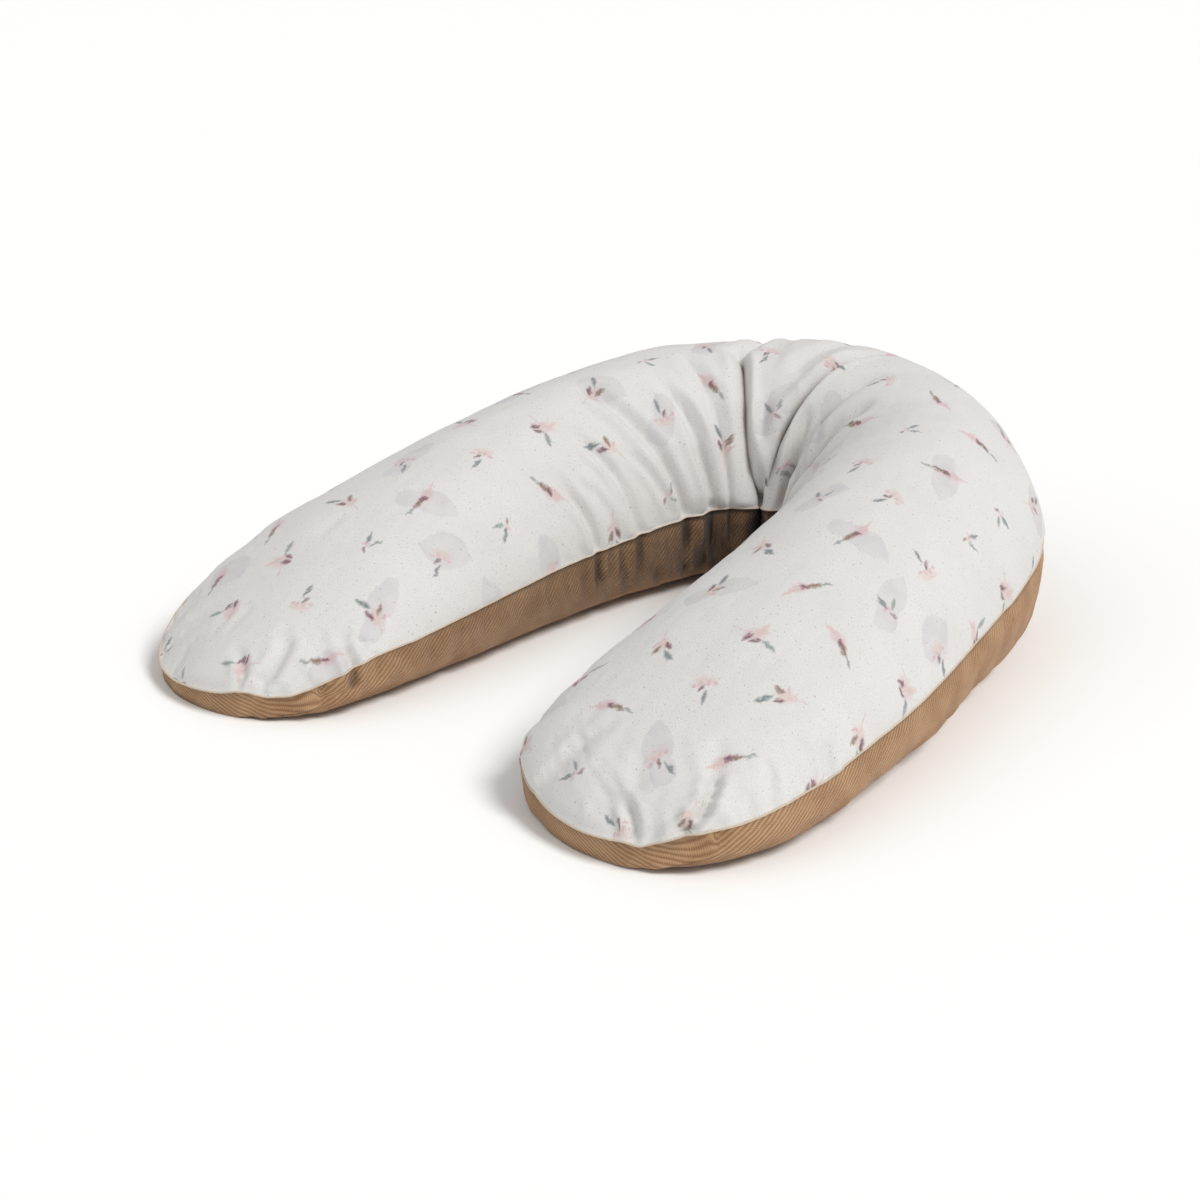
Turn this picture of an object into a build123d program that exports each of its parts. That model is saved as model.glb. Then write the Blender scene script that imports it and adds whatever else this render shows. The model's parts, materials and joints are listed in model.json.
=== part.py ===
from build123d import *
import os
from math import asin, cos, degrees, pi, radians, sin, sqrt

# A U-shaped nursing pillow that rests flat on a floor: a zipped cover of a top and a bottom panel around a
# filled inner cushion. Millimetres, +Z up, symmetric about X = 0, the U opens towards -Y, and the origin is the
# bottom centre of the whole pillow. Left is -X. The soft body bends at the middle of the U about a vertical
# line, so every soft layer is split there into a left and a right piece, round a knuckle.

# The centre line: a tight arc round the bend, then one gently curved arm on each side.
SPINE_HALF = 748.0
BEND_RADIUS = 173.5
BEND_TURN = 151.0
ARM_TURN = 18.5

# The cross-section: narrow and tall at the bend, wide and lower in the arms, rounded off at the tips.
HALF_WIDTH_BEND = 108.0
HALF_WIDTH_ARM = 150.0
HEIGHT_BEND = 222.0
HEIGHT_ARM = 173.0
SWELL_END = 1.32
TIP_WIDTH_POWER = 12.0
TIP_HEIGHT_POWER = 2.24
CROWN_POWER = 1.16
UNDERSIDE_POWER = 0.27
FLOOR_DIP = 5.0

# The seam between the two panels runs along both edges, a little lower on the inside of the bend.
SEAM_BEND = 107.0
SEAM_ARM = 48.5
SEAM_DROP_INSIDE = 7.0
TIP_SEAM_START = 0.72
TIP_SEAM_POWER = 2.2
SEAM_GAP = 0.3

# Layers, from the outside in.
COVER_THICKNESS = 1.2
ALLOWANCE_OUTER = 2.2
ALLOWANCE_INNER = 3.4
ALLOWANCE_HALF_HEIGHT = 4.0
CASING_SIDE_INSET = 8.0
CASING_SKIN_INSET = 1.6
CASING_THICKNESS = 0.6
FILL_CLEARANCE = 0.2

# The bend: how far the right arm opens and closes about the knuckle, in degrees.
OPEN_LIMIT = 45.0
CLOSE_LIMIT = 12.0
WEDGE_SPARE = 0.8
KNUCKLE_RADIUS = HALF_WIDTH_BEND + 4.0
KNUCKLE_CLEARANCE = 0.8
MIDDLE_GAP = 0.8

# The zip, in the outer seam of the left arm. Depths are radial from the seam line, minus inwards.
ZIP_START = 0.36
ZIP_END = 0.72
ZIP_WINDOW_HALF = 4.0
ZIP_ROOM = 6.0
COIL_RADIUS = 1.0
COIL_DEPTH = -1.4
COIL_OFFSET = 1.5
TAPE_THICKNESS = 0.6
TAPE_FRONT = -2.45
TAPE_EDGE_DEPTH = -5.9
TAPE_WIDTH = 13.0
STITCH_RADIUS = 0.35
STITCH_OFFSET = 5.6
SLIDER_LENGTH = 9.0
SLIDER_HALF_WIDTH = 3.6
STOP_LENGTH = 2.4
STOP_GAP = 1.0
PULL_LENGTH = 24.0
PULL_HALF_WIDTH = 3.2
PULL_BAR_DEPTH = 1.6

# The sewn-in care label, hanging from the outer seam between the bend and the zip.
LABEL_PLACE = 0.31
LABEL_WIDTH = 25.0
LABEL_DROP = 45.0
LABEL_THICKNESS = 0.4
LABEL_STAND_OFF = 0.9

STATIONS = 18
LAST_STATION = 88.0
CROWN_STEPS = 12
SIDE_STEPS = (0.25, 0.5, 0.7, 0.85, 0.95)
FAR = 1200.0

BEND_LENGTH = BEND_RADIUS * radians(BEND_TURN) / 2
ARM_RADIUS = (SPINE_HALF - BEND_LENGTH) / radians(ARM_TURN)


def smooth(t):
    t = min(max(t, 0.0), 1.0)
    return t * t * (3 - 2 * t)


def half_width(q):
    swell = smooth(q / SWELL_END)
    width = HALF_WIDTH_BEND + (HALF_WIDTH_ARM - HALF_WIDTH_BEND) * swell
    return width * sqrt(1 - q**TIP_WIDTH_POWER)


def top_height(q):
    swell = smooth(q / SWELL_END)
    height = HEIGHT_BEND + (HEIGHT_ARM - HEIGHT_BEND) * swell
    return height * sqrt(1 - q**TIP_HEIGHT_POWER)


def seam_height(q, u):
    """Height of the seam line at the fraction q of an arm, from the inner edge, u = -1, to the outer, u = 1."""
    t = max(q - TIP_SEAM_START, 0) / (1 - TIP_SEAM_START)
    tip = sqrt(1 - t**TIP_SEAM_POWER)
    outer = SEAM_BEND + (SEAM_ARM - SEAM_BEND) * q
    return (outer - SEAM_DROP_INSIDE * (1 - q) * (1 - u) / 2) * tip


def spine(s, apex_y):
    """Point on the centre line s mm from the middle of the bend, minus to the left, and the outward direction."""
    side = -1 if s < 0 else 1
    bend = min(abs(s), BEND_LENGTH) / BEND_RADIUS
    heading = bend + max(abs(s) - BEND_LENGTH, 0) / ARM_RADIUS
    x = BEND_RADIUS * sin(bend) + ARM_RADIUS * (sin(heading) - sin(bend))
    y = apex_y - BEND_RADIUS * (1 - cos(bend)) - ARM_RADIUS * (cos(bend) - cos(heading))
    return Vector(side * x, y, 0), Vector(side * sin(heading), cos(heading), 0)


def edge_point(s, apex_y):
    """Point of the outer seam line."""
    q = abs(s) / SPINE_HALF
    point, out = spine(s, apex_y)
    return point + out * half_width(q) + Vector(0, 0, seam_height(q, 1))


def centred_apex():
    """The Y of the middle of the centre line that puts the pillow's bounding box centre at Y = 0."""
    steps = 400
    lowest = 0
    for i in range(steps):
        point, out = spine(SPINE_HALF * i / steps, 0)
        lowest = min(lowest, point.Y - abs(out.Y) * half_width(i / steps))
    return -(lowest + HALF_WIDTH_BEND) / 2


APEX_Y = centred_apex()


class Section:
    """One cross-section of the pillow, drawn in by side_inset at its edges and skin_inset above and below."""

    def __init__(self, phase, side_inset, skin_inset):
        s = (SPINE_HALF - side_inset) * sin(phase)
        self.q = abs(s) / SPINE_HALF
        self.point, self.out = spine(s, APEX_Y)
        self.half = half_width(self.q) - side_inset
        self.top = max(top_height(self.q) - skin_inset, self.seam(0) + 2)

    def seam(self, u):
        return seam_height(self.q, u)

    def at(self, u, z):
        return self.point + self.out * (self.half * u) + Vector(0, 0, z)

    def crown(self, lift):
        """The curve over the top, from the outer edge to the inner, its ends lifted off the seam line."""
        points = []
        for i in range(CROWN_STEPS + 1):
            t = pi * i / CROWN_STEPS
            base = self.seam(cos(t)) + lift
            rise = sin(t) ** CROWN_POWER if 0 < i < CROWN_STEPS else 0
            points.append(self.at(cos(t), base + (self.top - base) * rise))
        return Spline(*points)

    def underside(self, lift):
        """The curve below, from the inner edge to the outer. Its middle dips under the floor and is cut off."""
        across = [cos(asin(w ** (1 / UNDERSIDE_POWER))) for w in SIDE_STEPS]
        inner = [(-u, w) for u, w in zip(across, SIDE_STEPS)]
        outer = [(u, w) for u, w in zip(across[::-1], SIDE_STEPS[::-1])]
        points = []
        for u, w in [(-1, 0), *inner, (0, 1), *outer, (1, 0)]:
            base = self.seam(u) + lift
            points.append(self.at(u, base - (base + FLOOR_DIP) * w))
        return Spline(*points)

    def chord(self, lift):
        inner = self.at(-1, self.seam(-1) + lift)
        return Line(inner, self.at(1, self.seam(1) + lift))


def phases():
    return [radians(LAST_STATION) * i / STATIONS for i in range(-STATIONS, STATIONS + 1)]


def above_floor(shape, height):
    room = Pos(0, 0, height) * Box(FAR, FAR, FAR, align=(Align.CENTER, Align.CENTER, Align.MIN))
    return shape & room


def body_form(side_inset, skin_inset):
    """The whole pillow's form, drawn in by the insets."""
    faces = []
    for phase in phases():
        section = Section(phase, side_inset, skin_inset)
        faces.append(make_face(section.crown(0) + section.underside(0)))
    return above_floor(loft(faces), skin_inset)


def upper_form(side_inset, skin_inset):
    """The part of the form above the seam."""
    faces = []
    for phase in phases():
        section = Section(phase, side_inset, skin_inset)
        faces.append(make_face(section.crown(SEAM_GAP) + section.chord(SEAM_GAP)))
    return above_floor(loft(faces), skin_inset)


def lower_form(side_inset, skin_inset):
    """The part of the form below the seam."""
    faces = []
    for phase in phases():
        section = Section(phase, side_inset, skin_inset)
        faces.append(make_face(section.underside(-SEAM_GAP) + section.chord(-SEAM_GAP)))
    return above_floor(loft(faces), skin_inset)


def seam_band(side_inset, spare):
    """A band along the seam surface, spare taller than the seam allowances, and lower where the tips close."""
    faces = []
    for phase in phases():
        section = Section(phase, side_inset, COVER_THICKNESS)
        edge = half_width(section.q)
        u = (edge - ALLOWANCE_OUTER) / (edge - COVER_THICKNESS)
        room = (section.top - section.seam(1)) * (1 - u * u) ** (CROWN_POWER / 2)
        high = min(ALLOWANCE_HALF_HEIGHT, 0.8 * room) + spare
        low = -high
        corners = [(1, high), (-1, high), (-1, low), (1, low)]
        points = [section.at(u, section.seam(u) + z) for u, z in corners]
        faces.append(make_face(Polyline(*points, close=True)))
    return loft(faces)


def wedge(half_angle, towards):
    """A wedge from the knuckle's centre, cleared so that the arms don't meet there while they bend."""
    tip = (0, APEX_Y)
    reach = towards * FAR
    spread = FAR * sin(radians(half_angle)) / cos(radians(half_angle))
    return make_face(Polyline(tip, (spread, APEX_Y + reach), (-spread, APEX_Y + reach), close=True))


def arm_zone(side):
    """Everything that belongs to the arm on one side: the knuckle goes with the right arm."""
    plate = Pos(side * (FAR + MIDDLE_GAP) / 2, 0) * Rectangle(FAR, FAR)
    plate -= wedge((OPEN_LIMIT + WEDGE_SPARE) / 2, 1)
    plate -= wedge((CLOSE_LIMIT + WEDGE_SPARE) / 2, -1)
    if side > 0:
        plate += Pos(0, APEX_Y) * Circle(KNUCKLE_RADIUS)
    else:
        plate -= Pos(0, APEX_Y) * Circle(KNUCKLE_RADIUS + KNUCKLE_CLEARANCE)
    return extrude(plate, FAR, both=True)


def zip_circle():
    """Centre line circle of the zip, through three points of the left arm's outer seam."""
    places = (ZIP_START, (ZIP_START + ZIP_END) / 2, ZIP_END)
    start, middle, end = [edge_point(-q * SPINE_HALF, APEX_Y) for q in places]
    a = middle - start
    b = end - start
    normal = a.cross(b)
    toward = (normal.cross(a) * b.dot(b) + b.cross(normal) * a.dot(a)) * (0.5 / normal.dot(normal))
    centre = start + toward
    return Plane(origin=centre, x_dir=start - centre, z_dir=normal), toward.length, (end - centre)


ZIP_PLANE, ZIP_RADIUS, ZIP_TO_END = zip_circle()
ZIP_LENGTH = ZIP_RADIUS * radians(ZIP_TO_END.get_angle(ZIP_PLANE.x_dir))
SLIDER_PLACE = STOP_LENGTH + STOP_GAP + SLIDER_LENGTH / 2


def along_zip(face, start, end):
    """Turns a profile of (depth, height) about the zip circle's centre, from start to end mm along the zip."""
    turn = revolve(Plane.XZ * face, Axis.Z, revolution_arc=degrees((end - start) / ZIP_RADIUS))
    return ZIP_PLANE.location * (Rot(0, 0, degrees(start / ZIP_RADIUS)) * turn)


def profile(*points):
    return make_face(Polyline(*[(ZIP_RADIUS + depth, height) for depth, height in points], close=True))


def block(depths, heights):
    low, high = depths
    bottom, top = heights
    return profile((low, bottom), (high, bottom), (high, top), (low, top))


def zip_window():
    face = block((-3.0, 6.0), (-ZIP_WINDOW_HALF, ZIP_WINDOW_HALF))
    return along_zip(face, -ZIP_ROOM, ZIP_LENGTH + ZIP_ROOM)


def zip_room():
    """The space behind the panels that the tapes take, where the seam has no folded allowance."""
    face = block((-7.0, 2.0), (-TAPE_WIDTH - 1, TAPE_WIDTH + 1))
    return along_zip(face, -ZIP_ROOM - 4, ZIP_LENGTH + ZIP_ROOM + 4)


def zip_tape(side):
    """A woven tape: upright behind its coil, then leaning in to stay behind the panel."""
    face = profile(
        (TAPE_FRONT, side * 0.8),
        (TAPE_FRONT, side * 3.2),
        (TAPE_EDGE_DEPTH + TAPE_THICKNESS, side * TAPE_WIDTH),
        (TAPE_EDGE_DEPTH, side * TAPE_WIDTH),
        (TAPE_FRONT - TAPE_THICKNESS, side * 3.4),
        (TAPE_FRONT - TAPE_THICKNESS, side * 0.8),
    )
    return along_zip(face, -ZIP_ROOM + 1, ZIP_LENGTH + ZIP_ROOM - 1)


def zip_coil(side):
    face = Pos(ZIP_RADIUS + COIL_DEPTH, side * COIL_OFFSET) * Circle(COIL_RADIUS)
    return along_zip(face, STOP_LENGTH + 0.1, ZIP_LENGTH - STOP_LENGTH - 0.1)


def zip_top_stops():
    """Two small clamps, one on each coil's closed end."""
    low = COIL_DEPTH - COIL_RADIUS
    upper = along_zip(block((low, -0.3), (0.45, 2.9)), 0, STOP_LENGTH)
    lower = along_zip(block((low, -0.3), (-2.9, -0.45)), 0, STOP_LENGTH)
    return Compound(children=[upper, lower])


def zip_bottom_stop():
    face = block((COIL_DEPTH - COIL_RADIUS, -0.3), (-2.9, 2.9))
    return along_zip(face, ZIP_LENGTH - STOP_LENGTH, ZIP_LENGTH)


def zip_stitching(side):
    """The row of stitches that holds a panel's turned edge to its tape, as one thread."""
    seam_side = -0.75 if side > 0 else -0.15
    face = Pos(ZIP_RADIUS + seam_side, side * STITCH_OFFSET) * Circle(STITCH_RADIUS)
    return along_zip(face, -ZIP_ROOM + 2, ZIP_LENGTH + ZIP_ROOM - 2)


def slider_frame():
    """The slider's own frame: X outwards, Y along the zip towards the tip, Z up."""
    turn = Rot(0, 0, degrees(SLIDER_PLACE / ZIP_RADIUS))
    return ZIP_PLANE.location * turn * Pos(ZIP_RADIUS, 0, 0)


def zip_slider():
    """Front and back plates joined by a post between the coils, flanges beside the coils, and a bridge."""
    half = SLIDER_HALF_WIDTH
    start = SLIDER_PLACE - SLIDER_LENGTH / 2
    end = SLIDER_PLACE + SLIDER_LENGTH / 2
    front = along_zip(block((0, 1.0), (-half, half)), start, end)
    back = along_zip(block((-4.8, -3.9), (-half, half)), start, end)
    post = along_zip(block((-4.8, 1.0), (-0.35, 0.35)), end - 3.2, end - 0.6)
    upper = along_zip(block((-1.8, 0.5), (half - 0.6, half)), start, end)
    lower = along_zip(block((-1.8, 0.5), (-half, 0.6 - half)), start, end)
    arch = Pos(1.9, 0, 0) * Box(2.4, 6.0, 1.4)
    arch -= Pos(PULL_BAR_DEPTH, 0, 0) * Box(1.3, 3.6, 3)
    return front + back + post + upper + lower + slider_frame() * arch


def zip_pull_tab():
    """A flat tab on two arms that join a crossbar under the slider's bridge."""
    bar = Cylinder(0.5, 5.6)
    arms = Pos(0, 3.2, 2.4) * Box(0.8, 7.2, 0.8)
    arms += Pos(0, 3.2, -2.4) * Box(0.8, 7.2, 0.8)
    plate = Box(0.8, PULL_LENGTH - 5, 2 * PULL_HALF_WIDTH)
    plate = fillet(plate.edges().filter_by(Axis.X), 2.4)
    plate = Pos(0, 5 + (PULL_LENGTH - 5) / 2, 0) * plate
    hole = Pos(0, PULL_LENGTH - 5, 0) * Rot(0, 90, 0) * Cylinder(1.4, 3)
    return slider_frame() * (Pos(PULL_BAR_DEPTH, 0, 0) * (bar + arms + plate - hole))


def care_label():
    """A blank woven tag whose folded end is caught in the seam."""
    step = 4.0
    s = -LABEL_PLACE * SPINE_HALF
    place = edge_point(s, APEX_Y)
    along = edge_point(s - step, APEX_Y) - edge_point(s + step, APEX_Y)
    out = along.cross(Vector(0, 0, 1))
    frame = Plane(origin=place, x_dir=out, z_dir=out.cross(along)).location
    tongue_length = LABEL_STAND_OFF + 2
    tongue = Pos(LABEL_STAND_OFF - tongue_length / 2, 0, 0) * Box(tongue_length, LABEL_WIDTH, LABEL_THICKNESS)
    middle = (LABEL_THICKNESS - LABEL_DROP) / 2
    drop = Pos(LABEL_STAND_OFF, 0, middle) * Box(LABEL_THICKNESS, LABEL_WIDTH, LABEL_DROP)
    return frame * (tongue + drop)


def save(name, shape):
    shape.label = name
    export_step(shape, f"parts/{name}.step")


def save_arms(name, shape):
    save(f"{name}_left", shape & arm_zone(-1))
    save(f"{name}_right", shape & arm_zone(1))


def build():
    os.makedirs("parts", exist_ok=True)
    inside = body_form(COVER_THICKNESS, COVER_THICKNESS)
    window = zip_window()
    save_arms("cover_top", upper_form(0, 0) - inside - window)
    save_arms("cover_bottom", lower_form(0, 0) - inside - window)
    allowance = seam_band(ALLOWANCE_OUTER, 0) - seam_band(ALLOWANCE_INNER, 20) - zip_room()
    save_arms("seam_allowance", allowance)

    side = CASING_SIDE_INSET
    skin = CASING_SKIN_INSET
    hollow = body_form(side + CASING_THICKNESS, skin + CASING_THICKNESS)
    save_arms("casing_top", upper_form(side, skin) - hollow)
    save_arms("casing_bottom", lower_form(side, skin) - hollow)
    depth = CASING_THICKNESS + FILL_CLEARANCE
    save_arms("fill", body_form(side + depth, skin + depth))

    save("zip_tape_upper", zip_tape(1))
    save("zip_tape_lower", zip_tape(-1))
    save("zip_coil_upper", zip_coil(1))
    save("zip_coil_lower", zip_coil(-1))
    save("zip_top_stops", zip_top_stops())
    save("zip_bottom_stop", zip_bottom_stop())
    save("zip_stitching_upper", zip_stitching(1))
    save("zip_stitching_lower", zip_stitching(-1))
    save("zip_slider", zip_slider())
    save("zip_pull_tab", zip_pull_tab())
    save("care_label", care_label())


build()
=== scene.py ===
import json
import math

import bpy
import numpy as np
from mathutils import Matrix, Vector
from mathutils.bvhtree import BVHTree


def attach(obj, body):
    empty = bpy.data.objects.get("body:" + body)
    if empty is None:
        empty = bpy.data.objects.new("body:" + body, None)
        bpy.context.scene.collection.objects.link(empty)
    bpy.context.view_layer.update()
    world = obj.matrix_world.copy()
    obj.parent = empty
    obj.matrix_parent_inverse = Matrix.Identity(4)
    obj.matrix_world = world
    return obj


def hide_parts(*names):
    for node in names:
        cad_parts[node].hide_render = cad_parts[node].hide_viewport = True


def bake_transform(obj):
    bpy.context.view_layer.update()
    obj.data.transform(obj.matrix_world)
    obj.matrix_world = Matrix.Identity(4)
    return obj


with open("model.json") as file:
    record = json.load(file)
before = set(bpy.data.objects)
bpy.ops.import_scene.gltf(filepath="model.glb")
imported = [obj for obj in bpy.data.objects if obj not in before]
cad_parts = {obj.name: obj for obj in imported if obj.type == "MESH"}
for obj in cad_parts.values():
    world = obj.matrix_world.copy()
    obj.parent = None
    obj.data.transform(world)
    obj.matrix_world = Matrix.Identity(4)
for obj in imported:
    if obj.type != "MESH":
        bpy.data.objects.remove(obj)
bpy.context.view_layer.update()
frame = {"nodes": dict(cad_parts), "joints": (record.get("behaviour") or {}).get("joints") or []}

# A nursing pillow. Metres, +Z up, the U opens towards -Y, and the middle of its bend is at (0, APEX_Y).
# Every place on the cover is named by q, the distance along the centre line as a fraction of an arm, minus on
# the left, and by u, from -1 at the inner seam to 1 at the outer. Folds name u by an angle instead: 0 degrees
# at the outer seam, 90 on the crown, 180 at the inner seam and 270 on the floor.

JOINTS = {joint["name"]: joint for joint in frame["joints"]}
APEX_Y = JOINTS["arm_flex"]["pos_m"][1]

SPINE_HALF = 0.748
BEND_RADIUS = 0.1735
BEND_TURN = math.radians(151)
ARM_TURN = math.radians(18.5)
HALF_WIDTH_BEND = 0.108
HALF_WIDTH_ARM = 0.150
HEIGHT_BEND = 0.222
HEIGHT_ARM = 0.173
SWELL_END = 1.32
TIP_WIDTH_POWER = 12
TIP_HEIGHT_POWER = 2.24
CROWN_POWER = 1.16
UNDERSIDE_POWER = 0.27
UNDERSIDE_DIP = 1.03
FLOOR_ROUNDING = 0.002
FLOOR_SINK = 0.0002
FLOOR_CLEARANCE = 0.0001
SEAM_BEND = 0.107
SEAM_ARM = 0.0485
SEAM_DROP_INSIDE = 0.007
TIP_SEAM_START = 0.72
TIP_SEAM_POWER = 2.2
TIP_SEAM_REACH = 0.9

BEND_LENGTH = BEND_RADIUS * BEND_TURN / 2
ARM_RADIUS = (SPINE_HALF - BEND_LENGTH) / ARM_TURN

# The flat panels are cut as a gentler crescent than the stuffed one, and the print keeps to it.
CUT_RADIUS = 0.278

ROWS = 300
COLUMNS = 48
TIP_ROWS_SHARE = 0.4
MIDDLE_ROW = 0.4
COVER_THICKNESS = 0.0012
EDGE_HEIGHT = 0.0008
EDGE_DEPTH = 0.0013
EDGE_SIDES = 8
TIP_START = 0.74
TIP_STRETCH = 0.016
TIP_NARROW = 0.004
TIP_SLOPE = 0.34
CASING_GAP = 0.0030
CASING_THICKNESS = 0.0006
FILL_GAP = 0.0048
ZIP_GAP = 0.0035

# The zip, in the left arm's outer seam.
ZIP_START = 0.36
ZIP_END = 0.72
ZIP_ROOM = 0.006
WINDOW_HALF = 0.0043
CALM_DEPTH = 0.02
CALM_REACH = 0.012
CALM_EASE = 0.03
OPENING_EASE = 0.022
OPENING_REACH = 0.06
OPENING_END = 0.010
STOP_LENGTH = 0.0024
STOP_GAP = 0.0002
COIL_RADIUS = 0.0010
COIL_DEPTH = -0.0014
COIL_OFFSET = 0.0009
COIL_PITCH = 0.0016
COIL_TALLER = 1.25
WIRE_RADIUS = 0.00034
TAPE_PROFILE = ((-0.00245, 0.0008), (-0.00245, 0.0032), (-0.0056, 0.0092),
                (-0.0062, 0.0092), (-0.00305, 0.0034), (-0.00305, 0.0008))
STITCH_OFFSET = 0.0062
STITCH_LENGTH = 0.0026
STITCH_PITCH = 0.0036
THREAD_RADIUS = 0.00032
RAY_START = 0.03

LABEL_PLACE = 0.31
LABEL_WIDTH = 0.025
LABEL_DROP = 0.0445
LABEL_SKIN = 0.00011

# The cloth simulation: the cloth's settings, what is kept of its result, how firmly it is held, and where it
# gets spare cloth.
CLOTH = dict(quality=5, mass=0.05, tension_stiffness=25, compression_stiffness=25, shear_stiffness=6,
             bending_stiffness=0.12, use_pressure=True, uniform_pressure_force=2.5,
             vertex_group_mass="hold", vertex_group_shrink="loose", shrink_min=0, shrink_max=-0.09)
SIM_FRAMES = 20
SWELL_REMOVED = 0.9
SPREAD_ROUNDS = 110
WRINKLE_GAIN = 2.2
SIM_CAP = 0.012
HOLD_SEAM = 0.72
HOLD_FLOOR = 0.95
HOLD_FREE = 0.05
LOOSE_ANYWHERE = 0.28
LOOSE_IN_BEND = 0.6
LOOSE_AT_SEAM = 0.3
LOOSE_BEND_REACH = 0.42


# ---------------------------------------------------------------- the pillow's form

def smooth(t):
    t = np.clip(t, 0, 1)
    return t * t * (3 - 2 * t)


def unit(vectors):
    return vectors / np.maximum(np.linalg.norm(vectors, axis=-1, keepdims=True), 1e-12)


def running(values, axis=0):
    """The running total of values along an axis, starting from 0."""
    return np.insert(np.cumsum(values, axis), 0, 0, axis)


def spine(s, radius=BEND_RADIUS):
    """Points on the centre line at s, measured from its middle, and their outward directions."""
    s = np.asarray(s, float)
    side = np.where(s < 0, -1.0, 1.0)
    bend = np.minimum(np.abs(s), BEND_LENGTH) / radius
    heading = bend + np.maximum(np.abs(s) - BEND_LENGTH, 0) / ARM_RADIUS
    x = radius * np.sin(bend) + ARM_RADIUS * (np.sin(heading) - np.sin(bend))
    y = -radius * (1 - np.cos(bend)) - ARM_RADIUS * (np.cos(bend) - np.cos(heading))
    return np.stack([side * x, y], -1), np.stack([side * np.sin(heading), np.cos(heading)], -1)


def swell(q):
    return smooth(q / SWELL_END)


def half_width(q):
    """Half the arm's width before its tip is rounded off."""
    return HALF_WIDTH_BEND + (HALF_WIDTH_ARM - HALF_WIDTH_BEND) * swell(q)


def seam_line(q, u, reach=TIP_SEAM_REACH):
    t = np.maximum(q - TIP_SEAM_START, 0) / (1 - TIP_SEAM_START) * reach
    outer = SEAM_BEND + (SEAM_ARM - SEAM_BEND) * q
    return (outer - SEAM_DROP_INSIDE * (1 - q) * (1 - u) / 2) * np.sqrt(1 - t**TIP_SEAM_POWER)


def crown_rise(q):
    """How far the top of the crown stands above the seam."""
    height = (HEIGHT_BEND + (HEIGHT_ARM - HEIGHT_BEND) * swell(q)) * np.sqrt(1 - q**TIP_HEIGHT_POWER)
    return np.maximum(height - seam_line(q, 0, 0.999), 0)


def skin_point(signed_q, u, sine, above):
    """Points of the top panel, or of the underside, where sine is 0 at the seam and 1 in the middle."""
    q = np.abs(signed_q)
    seam = seam_line(q, u)
    if above:
        z = seam + crown_rise(q) * sine**CROWN_POWER
    else:
        z = seam * (1 - sine**UNDERSIDE_POWER * UNDERSIDE_DIP)
        rounded = 0.5 * (z + np.sqrt(z * z + FLOOR_ROUNDING**2)) - FLOOR_SINK
        z = np.where(sine > 0, np.minimum(rounded, seam), seam)
    point, out = spine(signed_q * SPINE_HALF)
    plan = point + out * (u * np.sqrt(np.maximum(1 - q**TIP_WIDTH_POWER, 0)) * half_width(q))[..., None]
    points = np.concatenate([plan, z[..., None]], -1)
    points[..., 1] += APEX_Y
    return points


def panel_points(rows, across, above):
    """Points of one panel as a grid of rows along the pillow and places across it, with their q and u.

    The grid is a rectangle pulled into the panel's rounded outline, so it has no pole at the tips."""
    r, v = np.meshgrid(rows, across, indexing="ij")
    x = v * np.sqrt(1 - np.abs(r) ** TIP_WIDTH_POWER / 2)
    q = np.minimum(np.abs(r) * (1 - v * v / 2) ** (1 / TIP_WIDTH_POWER), 1.0)
    signed = np.where(r < 0, -q, q)
    room = np.maximum(1 - q**TIP_WIDTH_POWER, 1e-9)
    u = np.clip(x / np.sqrt(room), -1, 1)
    sine = np.sqrt(np.clip(1 - u * u, 0, 1))
    sine[0, :] = sine[-1, :] = 0
    sine[:, 0] = sine[:, -1] = 0
    return skin_point(signed, u, sine, above), signed, u


def row_places():
    """Places along the pillow, from tip to tip, closer together towards the tips."""
    t = np.linspace(-1, 1, ROWS + 1)
    return TIP_ROWS_SHARE * np.sin(t * math.pi / 2) + (1 - TIP_ROWS_SHARE) * t


def even_places(count, along_underside=False):
    """Places across a panel: evenly turned over the crown, or spread evenly along the underside's cloth."""
    turned = np.sin(np.linspace(-math.pi / 2, math.pi / 2, count + 1))
    if not along_underside:
        return turned
    fine = np.sin(np.linspace(-math.pi / 2, math.pi / 2, 4001))
    points, _, _ = panel_points(np.array([-1, MIDDLE_ROW, 1]), fine, False)
    step = np.linalg.norm(np.diff(points[1], axis=0), axis=-1)
    length = running(step)
    return np.interp(np.linspace(0, length[-1], count + 1), length, fine)


def fold_point(q, degrees):
    """The skin point at a fold's place, for arrays of q and degrees round the section."""
    angle = np.radians(degrees)
    u, sine = np.cos(angle), np.abs(np.sin(angle))
    over = skin_point(q, u, sine, True)
    under = skin_point(q, u, sine, False)
    return np.where((degrees % 360 <= 180)[..., None], over, under)


class Cover:
    """The two panels as one closed mesh: two grids of vertex numbers that share the seam's vertices."""

    def __init__(self):
        rows = row_places()
        top, top_q, top_u = panel_points(rows, even_places(COLUMNS), True)
        low, low_q, low_u = panel_points(rows, even_places(COLUMNS, True), False)
        inside = np.zeros(top_q.shape, bool)
        inside[1:-1, 1:-1] = True
        self.top = np.arange(top_q.size).reshape(top_q.shape)
        self.bottom = self.top.copy()
        self.bottom[inside] = top_q.size + np.arange(inside.sum())
        self.co = np.concatenate([top.reshape(-1, 3), low[inside]])
        self.q = np.concatenate([top_q.ravel(), low_q[inside]])
        self.u = np.concatenate([top_u.ravel(), low_u[inside]])
        self.is_top = np.arange(len(self.co)) < top_q.size
        self.faces = np.concatenate([grid_faces(self.top), grid_faces(self.bottom)[:, ::-1]])
        self.is_seam = np.zeros(len(self.co), bool)
        self.is_seam[self.top[~inside]] = True


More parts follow.
